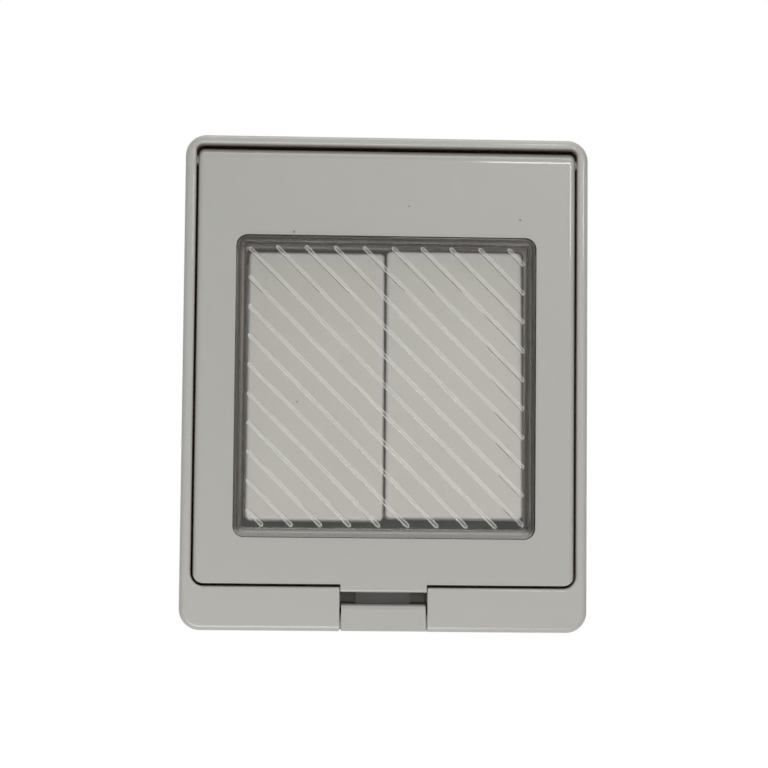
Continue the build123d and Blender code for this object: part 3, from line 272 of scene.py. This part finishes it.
# %% Group for one speck
one_speck, one_in, one_out = new_group(
    "one_speck", {"Across": 0.0, "Up": 0.0, "Size": 0.0002}, ("Mask",)
)
apart = add(one_speck, "ShaderNodeSeparateXYZ", Vector=own_place(one_speck)).outputs
squares = []
for way, centre in (("X", "Across"), ("Z", "Up")):
    offset = maths(one_speck, "SUBTRACT", apart[way], one_in[centre])
    squares.append(maths(one_speck, "POWER", offset, 2.0))
distance = maths(one_speck, "POWER", maths(one_speck, "ADD", *squares), 0.5)
one_speck.links.new(maths(one_speck, "LESS_THAN", distance, one_in["Size"]), one_out["Mask"])
print("group", one_speck.name, "has", len(one_speck.nodes), "nodes")

# %% [markdown]
# ## Edges and gaps
#
# Fingers polish the outside edges of a moulding, and the narrow gaps stay shaded. Both could be
# painted by hand, but the shape itself knows where they are. A rounded normal differs from the
# plain normal only near an edge, and little open sky is left only inside a gap. The group gives
# the two masks. The gap mask paints light and shade into the gaps, and each finish chooses that
# painted
# colour: a warm glow in the seams of the housing, and dark brown shade round the lid.

# %% Group for edges and gaps
edge_gain = 4.0
gap_starts, gap_full = 0.62, 0.12
edge_and_gap, edge_in, edge_out = new_group(
    "edge_and_gap", {"Edge width": 0.0004, "Gap reach": 0.008}, ("Edge", "Gap")
)
rounded = add(edge_and_gap, "ShaderNodeBevel", samples=4, Radius=edge_in["Edge width"])
plain = add(edge_and_gap, "ShaderNodeNewGeometry")
agree = add(edge_and_gap, "ShaderNodeVectorMath", operation="DOT_PRODUCT")
edge_and_gap.links.new(rounded.outputs[0], agree.inputs[0])
edge_and_gap.links.new(plain.outputs["Normal"], agree.inputs[1])
differs = maths(edge_and_gap, "SUBTRACT", 1.0, agree.outputs["Value"])
edge = maths(edge_and_gap, "MULTIPLY", differs, edge_gain, clamp=True)
open_sky = add(
    edge_and_gap, "ShaderNodeAmbientOcclusion", samples=6, Distance=edge_in["Gap reach"]
).outputs["AO"]
edge_and_gap.links.new(edge, edge_out["Edge"])
edge_and_gap.links.new(spread(edge_and_gap, open_sky, gap_starts, gap_full), edge_out["Gap"])
print("group", edge_and_gap.name, "has", len(edge_and_gap.nodes), "nodes")

# %% [markdown]
# ## Plastic: what all mouldings share
#
# All the hard mouldings share one recipe, and these are the numbers in it that never change. The
# base colour wanders by a percent or two between a warm and a cool side. Dust, specks and rubbed
# edges are laid over it in that order, each as a small share, because a share is easy to turn up
# or down.

# %% Values shared by the mouldings
warm_gains = (1.01, 0.985, 0.96)
cool_gains = (0.985, 1.005, 1.01)
rubbed_gains = (1.35, 1.35, 1.35)
dust_colour, dust_share = (0.62, 0.60, 0.55, 1.0), 0.08
speck_colour = (0.10, 0.09, 0.08, 1.0)
placed_speck_colour, placed_speck_share = (0.10, 0.08, 0.07, 1.0), 0.7
# Painted shade, laid into the gaps of most mouldings.
painted_gap_shade = (0.06, 0.042, 0.034, 1.0)
rubbed_share = 0.12
edge_polish = 0.08
cloud_roughness = 0.10
plastic_ior = 1.5
coat_roughness = 0.05


def tinted(colour, gains):
    """A colour with each of its channels made stronger or weaker."""
    return (*(channel * gain for channel, gain in zip(colour, gains)), 1.0)


print("a rubbed edge is", rubbed_gains[0], "times as bright as its piece")

# %% [markdown]
# ## Plastic recipe
#
# The roughness follows the same cloudy noise as the colour, and the bump is made of the grain and
# the waves. A thin gloss coat stands for the polished skin of the lid and the housing, and it
# fades in the gaps. The recipe is a function, so that housing, lid, rockers and inner parts differ
# only in the numbers that a moulder would quote.

# %% Plastic recipe
def plastic_tone(tree, colour, skin, wear_and_shade_masks, speck, painted_gap_colour, painted_gap_share, placed_specks):
    """The colour of a moulding, with its dust, specks, rubbed edges, and light and shade painted
    in its gaps.
    """
    marks = placed(tree, small_marks)
    tone = mixed(tree, skin["Cloud"], tinted(colour, warm_gains), tinted(colour, cool_gains))
    for mask, share, layer in (
        (marks["Dust"], dust_share, dust_colour),
        (marks["Specks"], speck, speck_colour),
        (wear_and_shade_masks["Edge"], rubbed_share, tinted(colour, rubbed_gains)),
        # The gap mask lays the painted gap colour last: painted shade on most finishes, a painted
        # warm glow on the housing.
        (wear_and_shade_masks["Gap"], painted_gap_share, painted_gap_colour),
    ):
        tone = mixed(tree, maths(tree, "MULTIPLY", mask, share), tone, layer)
    for across, up, size in placed_specks:
        spot = placed(tree, one_speck, Across=across, Up=up, Size=size)
        share = maths(tree, "MULTIPLY", spot["Mask"], placed_speck_share)
        tone = mixed(tree, share, tone, placed_speck_colour)
    return tone


def plastic(
    name, colour, roughness, grain, grain_depth, wave_depth=0.00004, speck=0.0, coat=0.0,
    gap_reach=0.008, painted_gap_share=0.85, painted_gap_colour=painted_gap_shade, placed_specks=(),
):
    """A moulded plastic with fine grain, soft waves, rubbed edges, and specks if it has any."""
    material, tree, shader = blank_finish(name)
    skin = placed(tree, moulded_skin, Grain_per_metre=grain)
    wear_and_shade_masks = placed(tree, edge_and_gap, Gap_reach=gap_reach)
    tone = plastic_tone(tree, colour, skin, wear_and_shade_masks, speck, painted_gap_colour, painted_gap_share, placed_specks)
    tree.links.new(tone, shader.inputs["Base Color"])
    smoothest = roughness - cloud_roughness / 2
    rough = maths(tree, "MULTIPLY_ADD", skin["Cloud"], cloud_roughness, smoothest)
    polished = maths(tree, "MULTIPLY", wear_and_shade_masks["Edge"], edge_polish)
    tree.links.new(maths(tree, "SUBTRACT", rough, polished), shader.inputs["Roughness"])
    grained = add(tree, "ShaderNodeBump", Height=skin["Grain"], Distance=grain_depth).outputs[0]
    waved = add(
        tree, "ShaderNodeBump", Height=skin["Waves"], Distance=wave_depth, Normal=grained
    ).outputs[0]
    tree.links.new(waved, shader.inputs["Normal"])
    outside_gaps = maths(tree, "SUBTRACT", 1.0, wear_and_shade_masks["Gap"])
    tree.links.new(maths(tree, "MULTIPLY", outside_gaps, coat), shader.inputs["Coat Weight"])
    shader.inputs["Coat Roughness"].default_value = coat_roughness
    shader.inputs["IOR"].default_value = plastic_ior
    return material


print("recipe ready: plastic")

# %% [markdown]
# ## Plastic finishes
#
# The housing and the lid are nearly the same grey, and the lid is the smoother of the two. The
# frame that clamps the window is painted dark brown: it is only seen through the rim of the
# window, and its colour paints the shade in that rim, where the real one looks brown. Three specks
# on the lid and one on the left rocker have a place of their own. The inner switch parts are plain
# and a little rougher.

# %% Plastic finishes
lid_specks = (
    (-0.0187, 0.0302, 0.00024),
    (0.0044, 0.0357, 0.00018),
    (0.0269, 0.0332, 0.00024),
)
rocker_specks = ((-0.0177, -0.0039, 0.0002),)
# A warm glow painted into the seams of the housing.
housing_painted_gap_glow = (0.60, 0.44, 0.36, 1.0)
# Dark brown shade painted into the gaps round the lid and into the latch notch.
lid_painted_gap_shade = (0.03, 0.021, 0.017, 1.0)

housing_grey = plastic(
    "housing_grey", colour=(0.425, 0.421, 0.402), roughness=0.34, grain=2400.0,
    grain_depth=0.00001, speck=0.4, coat=0.35, gap_reach=0.003, painted_gap_share=0.8,
    painted_gap_colour=housing_painted_gap_glow,
)
lid_grey = plastic(
    "lid_grey", colour=(0.41, 0.407, 0.39), roughness=0.34, grain=2400.0,
    grain_depth=0.000004, wave_depth=0.00002, coat=0.45, painted_gap_share=0.95,
    painted_gap_colour=lid_painted_gap_shade, placed_specks=lid_specks,
)
# Dark brown colour: painted shade in the rim of the window.
clamp_grey = plastic(
    "clamp_grey", colour=(0.085, 0.062, 0.052), roughness=0.42, grain=1800.0,
    grain_depth=0.000004, wave_depth=0.000008, gap_reach=0.002,
)
rocker_white = plastic(
    "rocker_white", colour=(0.55, 0.548, 0.532), roughness=0.36, grain=2000.0,
    grain_depth=0.000012, gap_reach=0.001, placed_specks=rocker_specks,
)
switch_white = plastic(
    "switch_white", colour=(0.66, 0.65, 0.61), roughness=0.45, grain=1500.0,
    grain_depth=0.00002,
)
plunger_plastic = plastic(
    "plunger_plastic", colour=(0.55, 0.54, 0.50), roughness=0.38, grain=1500.0,
    grain_depth=0.00001,
)
print("plastics made:", len(bpy.data.materials))

# %% [markdown]
# ## Clear window
#
# The window is one bendy clear moulding, so the rockers can be pressed through it. A thin
# see-through sheet without bending would be quicker to render. Real glass settings bend the view
# through the ribs and walls, which gives the rib edges and the dark border by themselves. A faint
# ripple and an uneven roughness keep it from looking like polished glass.

# %% Clear window
clear_tint, clear_tint_pale = (0.86, 0.855, 0.84, 1.0), (0.90, 0.895, 0.88, 1.0)
window_wave_per_metre = 110.0
window_roughness = 0.10
window_ripple = 0.000002
window_ior = 1.45

window_clear, tree, shader = blank_finish("window_clear")
skin = placed(tree, moulded_skin, Wave_per_metre=window_wave_per_metre)
tint = mixed(tree, skin["Cloud"], clear_tint, clear_tint_pale)
tree.links.new(tint, shader.inputs["Base Color"])
rough = maths(tree, "MULTIPLY", skin["Cloud"], window_roughness)
tree.links.new(rough, shader.inputs["Roughness"])
ripple = add(tree, "ShaderNodeBump", Height=skin["Waves"], Distance=window_ripple)
tree.links.new(ripple.outputs[0], shader.inputs["Normal"])
shader.inputs["IOR"].default_value = window_ior
shader.inputs["Transmission Weight"].default_value = 1.0
print("clear window bends light by", window_ior)

# %% [markdown]
# ## Milky ribs and ledges, with painted light
#
# The edges and crests of the ribs are made a little milky, and this pale haze paints the highlight
# lines that the ribs catch. A mask could be painted on each of them, but they have two things in
# common: they stand highest above the wall, and they are sharp. So the mask is the height of the
# surface times the edge mask, and each rib shows two pale painted highlight lines and a faint
# crest between them. The lower and the left ledge of the window are made a little hazy as well,
# which paints light on these two ledges.

# %% Haze of the window
rib_foot, rib_crest = 0.05440, 0.05468
rib_edge_width = 0.0003
# Painted highlights: the pale haze on the edges and crests of the ribs stands for the light they
# catch.
crest_highlight_haze, edge_highlight_haze = 0.12, 1.6
# Painted light: the lower and the left ledge are made paler on the sides where the light falls.
lower_ledge_light = ("Z", -0.0292, -0.0302, 0.25)
left_ledge_light = ("X", -0.0288, -0.0298, 0.08)

wear_and_shade_masks = placed(tree, edge_and_gap, Edge_width=rib_edge_width)
apart = add(tree, "ShaderNodeSeparateXYZ", Vector=own_place(tree)).outputs
from_wall = maths(tree, "MULTIPLY", apart["Y"], -1.0)
on_rib = spread(tree, from_wall, rib_foot, rib_crest)
strength = maths(tree, "MULTIPLY_ADD", wear_and_shade_masks["Edge"], edge_highlight_haze, crest_highlight_haze)
haze_and_painted_light = maths(tree, "MULTIPLY", on_rib, strength, clamp=True)
for way, start, end, amount in (lower_ledge_light, left_ledge_light):
    haze_and_painted_light = maths(tree, "ADD", haze_and_painted_light, spread(tree, apart[way], start, end, amount), clamp=True)
print("ribs turn milky from", rib_foot, "to", rib_crest, "m in front of the wall")

# %% [markdown]
# ## Light through the window
#
# The haze mixes a pale, dull shader into the clear one, and so paints the light on ribs and
# ledges.
# There is one shortcut, and it is in the light: shadow rays and rays that come off a dull surface
# go straight through. Shadow rays alone aren't enough, because light would then reach the rockers
# twice, once straight and once bent, and they would look lit from inside.

# %% Light through the window
# The pale shader carries the painted highlights and painted light of the haze.
milky_painted_light_colour, milky_painted_light_roughness = (0.90, 0.90, 0.88, 1.0), 0.3
passing_colour = (0.93, 0.925, 0.91, 1.0)

milky_painted_light = add(
    tree, "ShaderNodeBsdfPrincipled", Base_Color=milky_painted_light_colour, Roughness=milky_painted_light_roughness
).outputs[0]
hazy_with_painted_light = mixed_shader(tree, haze_and_painted_light, shader.outputs[0], milky_painted_light)
pass_light = add(tree, "ShaderNodeBsdfTransparent", Color=passing_colour).outputs[0]
path = add(tree, "ShaderNodeLightPath").outputs
straight = maths(tree, "MAXIMUM", path["Is Shadow Ray"], path["Is Diffuse Ray"])
window_out = tree.nodes["Material Output"].inputs["Surface"]
tree.links.new(mixed_shader(tree, straight, hazy_with_painted_light, pass_light), window_out)
print("window finish has", len(tree.nodes), "nodes")

# %% [markdown]
# ## Rubber
#
# The entry grommets and the seals are soft rubber. Rubber is dark or mid grey, never shiny, and
# its skin is slightly powdery. A recipe of its own would repeat the plastic one, so that one gives
# the grain, and a touch of sheen lifts the edges the way powdery rubber does.

# %% Rubber
rubber_grain, rubber_grain_depth, rubber_wave_depth = 900.0, 0.00002, 0.00001
rubber_sheen = 0.15
rubber_specular = 0.3


def rubber(name, colour, roughness):
    """A soft rubber with a powdery skin."""
    material = plastic(
        name, colour, roughness, rubber_grain, rubber_grain_depth, wave_depth=rubber_wave_depth
    )
    shader = material.node_tree.nodes["Principled BSDF"]
    shader.inputs["Sheen Weight"].default_value = rubber_sheen
    shader.inputs["Specular IOR Level"].default_value = rubber_specular
    return material


entry_rubber = rubber("entry_rubber", colour=(0.16, 0.16, 0.155), roughness=0.62)
seal_rubber = rubber("seal_rubber", colour=(0.03, 0.03, 0.03), roughness=0.72)
print("finishes so far:", len(bpy.data.materials))

# %% [markdown]
# ## The skin of metal
#
# Screws, bridge, springs and contacts are plated steel and brass. What makes metal read as metal
# is uneven roughness: rolling lines on sheet, turning marks on screws, and dull patches where
# plating is thin. Lines could be cut into the mesh, but they are far too fine. Long, squeezed
# noise draws them here, and a second noise draws the patches.

# %% Group for metal
line_squeeze = (1.0, 1.0, 14.0)
patches_per_metre = 180.0
metal_skin, metal_in, metal_out = new_group(
    "metal_skin", {"Lines per metre": 900.0}, ("Lines", "Patches")
)
place = own_place(metal_skin)
squeezed = add(metal_skin, "ShaderNodeMapping", Vector=place, Scale=line_squeeze).outputs[0]
lines = noise(metal_skin, squeezed, metal_in["Lines per metre"], 4.0)
patches = noise(metal_skin, place, patches_per_metre, 4.0, 0.6)
metal_skin.links.new(lines, metal_out["Lines"])
metal_skin.links.new(patches, metal_out["Patches"])
print("group", metal_skin.name, "has", len(metal_skin.nodes), "nodes")

# %% [markdown]
# ## Metal finishes
#
# One recipe serves all four metals, as with the plastics. Each one is given a bright and a dull
# colour, and the patches choose between them and make the dull places rougher too. Separate
# recipes for steel and brass would differ in nothing but these numbers.

# %% Metal finishes
patch_roughness = 0.25
metal_smoother_by = 0.1
line_depth = 0.000015


def metal(name, bright, dull, roughness, lines_per_metre):
    """A plated or bare metal with rolling lines and duller patches."""
    material, tree, shader = blank_finish(name)
    skin = placed(tree, metal_skin, Lines_per_metre=lines_per_metre)
    tree.links.new(mixed(tree, skin["Patches"], bright, dull), shader.inputs["Base Color"])
    smoothest = roughness - metal_smoother_by
    rough = maths(tree, "MULTIPLY_ADD", skin["Patches"], patch_roughness, smoothest)
    tree.links.new(rough, shader.inputs["Roughness"])
    lined = add(tree, "ShaderNodeBump", Height=skin["Lines"], Distance=line_depth)
    tree.links.new(lined.outputs[0], shader.inputs["Normal"])
    shader.inputs["Metallic"].default_value = 1.0
    return material


screw_steel = metal(
    "screw_steel", bright=(0.62, 0.61, 0.58, 1), dull=(0.48, 0.47, 0.44, 1),
    roughness=0.32, lines_per_metre=700.0,
)
bridge_steel = metal(
    "bridge_steel", bright=(0.60, 0.60, 0.58, 1), dull=(0.50, 0.50, 0.48, 1),
    roughness=0.38, lines_per_metre=500.0,
)
spring_steel = metal(
    "spring_steel", bright=(0.55, 0.55, 0.54, 1), dull=(0.42, 0.42, 0.41, 1),
    roughness=0.28, lines_per_metre=1500.0,
)
contact_brass = metal(
    "contact_brass", bright=(0.72, 0.52, 0.22, 1), dull=(0.55, 0.38, 0.16, 1),
    roughness=0.30, lines_per_metre=900.0,
)
print("metals made, materials in all:", len(bpy.data.materials))

# %% [markdown]
# ## Dress the pieces
#
# The record names a finish for each piece, and the materials above carry the same names. Each
# piece could be dressed by hand, one line each. One loop over the record dresses the whole switch,
# and it stops with an error where a piece asks for a finish that has been forgotten.

# %% Dress the pieces
finishes = {
    "housing_grey": housing_grey, "lid_grey": lid_grey, "clamp_grey": clamp_grey,
    "rocker_white": rocker_white, "switch_white": switch_white,
    "plunger_plastic": plunger_plastic, "window_clear": window_clear,
    "entry_rubber": entry_rubber, "seal_rubber": seal_rubber, "screw_steel": screw_steel,
    "bridge_steel": bridge_steel, "spring_steel": spring_steel, "contact_brass": contact_brass,
}
for part in frame["record"]["subparts"]:
    piece = nodes[part["node"]]
    finish = finishes[part["material_slot"]]
    for slot in piece.material_slots:
        slot.material = finish

# %% [markdown]
# ## The spring behind the latch
#
# A small coil pushes the latch shut, and it gets shorter when the latch is pressed. A coil that
# keeps its length would poke through the tail of the latch. A rig of bones would be heavy for one
# small spring, so a copy of the coil, hung on the housing, stands for it, and the original is
# hidden.

# %% Latch spring
coil = bpy.data.objects.new("latch_coil", nodes["latch_spring"].data.copy())
bpy.context.scene.collection.objects.link(coil)
coil.data.materials.clear()
coil.data.materials.append(spring_steel)
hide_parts("latch_spring")
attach(coil, "housing")
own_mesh(coil)

# %% [markdown]
# ## Room and background
#
# The photograph has a pale room all round and a plain white background. More light on the switch
# would whiten the background, but it would bleach the grey as well. So the room has two levels:
# the low one lights the switch, and the white one is what the camera, the glossy faces and the
# clear window look out on.

# %% Room
room_colour, room_strength = (1.0, 0.98, 0.95, 1.0), 0.19
backdrop_colour, backdrop_strength = (1.0, 1.0, 1.0, 1.0), 1.0


def seen_directly(tree):
    """1 for rays from the camera and for those that a glossy or a clear face sends on."""
    path = add(tree, "ShaderNodeLightPath").outputs
    seen = maths(tree, "MAXIMUM", path["Is Camera Ray"], path["Is Transmission Ray"])
    return maths(tree, "MAXIMUM", seen, path["Is Glossy Ray"])


world = bpy.data.worlds.new("room")
bpy.context.scene.world = world
world.use_nodes = True
tree = world.node_tree
room = tree.nodes["Background"]
room.inputs["Color"].default_value = room_colour
room.inputs["Strength"].default_value = room_strength
backdrop = add(
    tree, "ShaderNodeBackground", Color=backdrop_colour, Strength=backdrop_strength
).outputs[0]
world_out = tree.nodes["World Output"].inputs["Surface"]
tree.links.new(mixed_shader(tree, seen_directly(tree), room.outputs[0], backdrop), world_out)
print("the room lights the switch at", room_strength, "and looks white")

# %% [markdown]
# ## Floor
#
# The floor is one pale square, well below the switch, since the switch hangs on a wall. A curved
# studio sweep isn't needed, because the floor never meets the background in the picture. It glows
# only where it is looked at, so that it looks as white as the room and gives the switch no light
# of its own.

# %% Floor
floor_height = -0.35
floor_half = 3.0
floor_colour, floor_roughness = (0.86, 0.855, 0.84, 1.0), 0.8
glow_colour, glow_strength = (1.0, 1.0, 1.0, 1.0), 0.8

corners = [(-1, -1), (1, -1), (1, 1), (-1, 1)]
floor_corners = [(x * floor_half, y * floor_half, floor_height) for x, y in corners]
floor_mesh = bpy.data.meshes.new("floor")
floor_mesh.from_pydata(floor_corners, [], [(0, 1, 2, 3)])
floor = bpy.data.objects.new("floor", floor_mesh)
bpy.context.scene.collection.objects.link(floor)

floor_white, tree, shader = blank_finish("floor_white")
floor_mesh.materials.append(floor_white)
shader.inputs["Base Color"].default_value = floor_colour
shader.inputs["Roughness"].default_value = floor_roughness
shader.inputs["Emission Color"].default_value = glow_colour
glow = maths(tree, "MULTIPLY", seen_directly(tree), glow_strength)
tree.links.new(glow, shader.inputs["Emission Strength"])
print("floor lies", -floor_height, "m below the middle of the switch")

# %% [markdown]
# ## Lamps
#
# A large soft light stands high on the right, and a ceiling lamp shines down from above. A low
# lamp in front of the switch lifts the lower half of the lid, which is brighter in the photograph
# than the upper half. Two long thin lamps stand far behind the camera. They light the front
# evenly, and the rounded edges mirror them as pale streaks. Sun and spot lamps would be simpler,
# but their shadows are too hard for this soft picture.

# %% Lamps
lamp_target = Vector((0, -0.045, 0))
lamps = (
    # name, place, width and height, watts, colour
    ("window_light", (0.45, -0.55, 1.0), (0.8, 0.8), 2.1, (1.0, 0.95, 0.90)),
    ("ceiling_glow", (0.0, -0.12, 0.65), (0.5, 0.3), 1.5, (1.0, 0.965, 0.92)),
    ("table_glow", (-0.08, -0.40, -0.30), (0.3, 0.3), 1.42, (0.98, 1.0, 1.0)),
    ("upright_tube", (0.21, -1.65, 0.60), (0.10, 0.42), 2.5, (1.0, 0.99, 0.97)),
    ("level_tube", (0.54, -1.65, 0.29), (0.46, 0.10), 2.5, (1.0, 0.99, 0.97)),
)
for name, place, size, watts, colour in lamps:
    data = bpy.data.lights.new(name, "AREA")
    data.shape = "RECTANGLE"
    data.size, data.size_y = size
    data.energy = watts
    data.color = colour
    lamp = bpy.data.objects.new(name, data)
    bpy.context.scene.collection.objects.link(lamp)
    lamp.location = place
    lamp.rotation_mode = "QUATERNION"
    lamp.rotation_quaternion = (lamp_target - Vector(place)).to_track_quat("-Z", "Y")
print("lamps:", len(bpy.data.lights))

# %% [markdown]
# ## Finish
#
# The view transform is set to Standard, so that a colour renders about as it is written.

# %% Finish
bpy.context.scene.view_settings.view_transform = "Standard"
